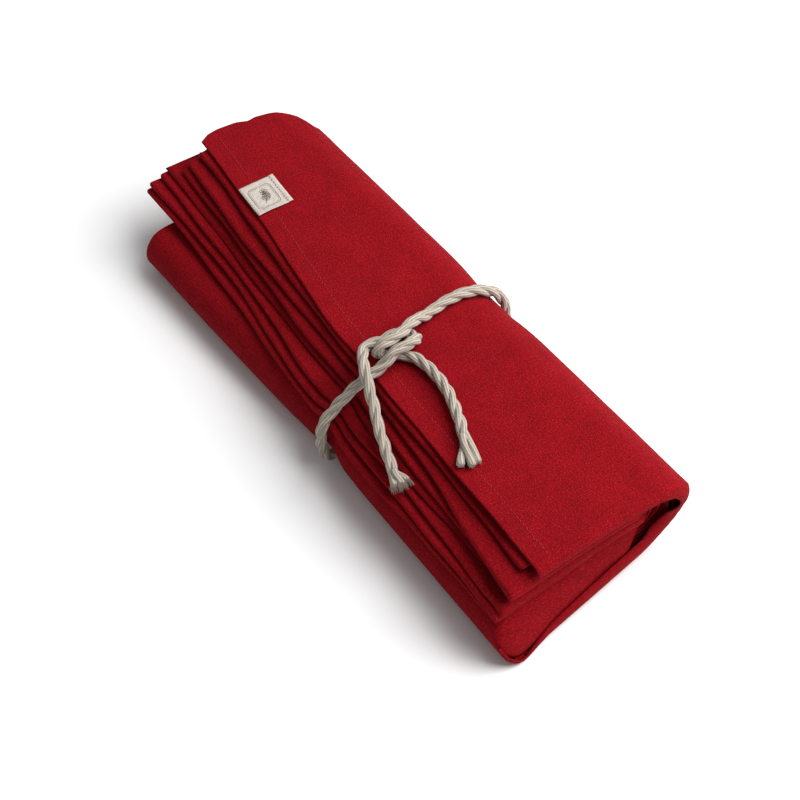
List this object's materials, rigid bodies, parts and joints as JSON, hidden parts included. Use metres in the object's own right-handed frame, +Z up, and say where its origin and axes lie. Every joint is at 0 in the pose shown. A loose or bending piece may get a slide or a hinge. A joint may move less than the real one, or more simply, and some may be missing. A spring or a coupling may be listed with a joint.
{
  "type": "round tablecloth",
  "caption": "Round linen tablecloth, folded to a long narrow bundle, tied round its middle with a twisted cord that ends in a knot, and with a small label sewn at its hem.",
  "frame": {"origin": "on the surface it lies on, under the middle of the folded cloth", "axes": "+X along the bundle to its near end, +Y across to its fat right-hand fold, +Z up"},
  "size_m": [0.4216, 0.1603, 0.086],
  "materials": {
    "linen": "deep red plain-weave linen, matt, with slubs",
    "label_tape": "off-white woven label tape, matt",
    "cord_fibre": "undyed three-strand twisted cord, matt"
  },
  "bodies": {
    "root": {"tablecloth": "linen", "label": "label_tape", "tie_cord": "cord_fibre"}
  },
  "joints": []
}
